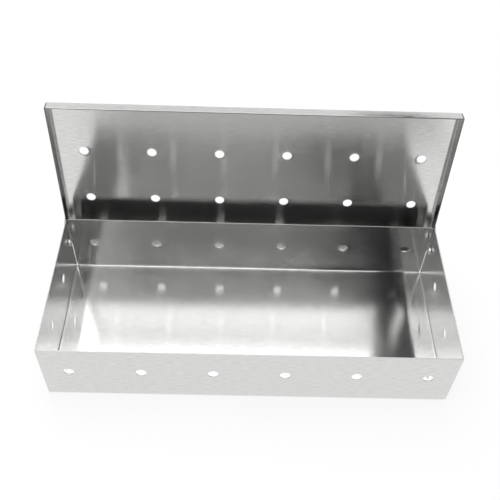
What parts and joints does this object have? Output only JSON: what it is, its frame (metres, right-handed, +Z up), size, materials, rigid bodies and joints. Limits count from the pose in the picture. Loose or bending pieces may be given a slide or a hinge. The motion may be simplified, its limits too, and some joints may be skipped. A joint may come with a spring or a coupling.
{
  "type": "grill smoker box",
  "caption": "Folded stainless steel tray for wood chips with rows of smoke holes and a riveted, hinged lid of the same sheet that stands open against its back wall.",
  "frame": {"origin": "middle of the tray's flat underside, on the surface that the box stands on", "axes": "+X along the box, from its left end to its right end; +Y to the back, where the lid's hinge is; +Z up"},
  "size_m": [0.2284, 0.1115, 0.1155],
  "materials": {
    "tray_steel": "fine brushed stainless sheet",
    "lid_steel": "fine brushed stainless sheet",
    "rivet_steel": "bright formed stainless",
    "washer_steel": "plain stainless"
  },
  "bodies": {
    "tray_body": {"tray": "tray_steel", "hinge_rivet_left": "rivet_steel", "hinge_rivet_right": "rivet_steel", "hinge_washer_left": "washer_steel", "hinge_washer_right": "washer_steel"},
    "lid_body": {"lid": "lid_steel"}
  },
  "joints": [
    {"name": "lid_hinge", "type": "hinge", "parent": "tray_body", "child": "lid_body", "pos_m": [0, 0.04, 0.0288], "axis": [1, 0, 0], "range_deg": [0, 96.9]}
  ]
}
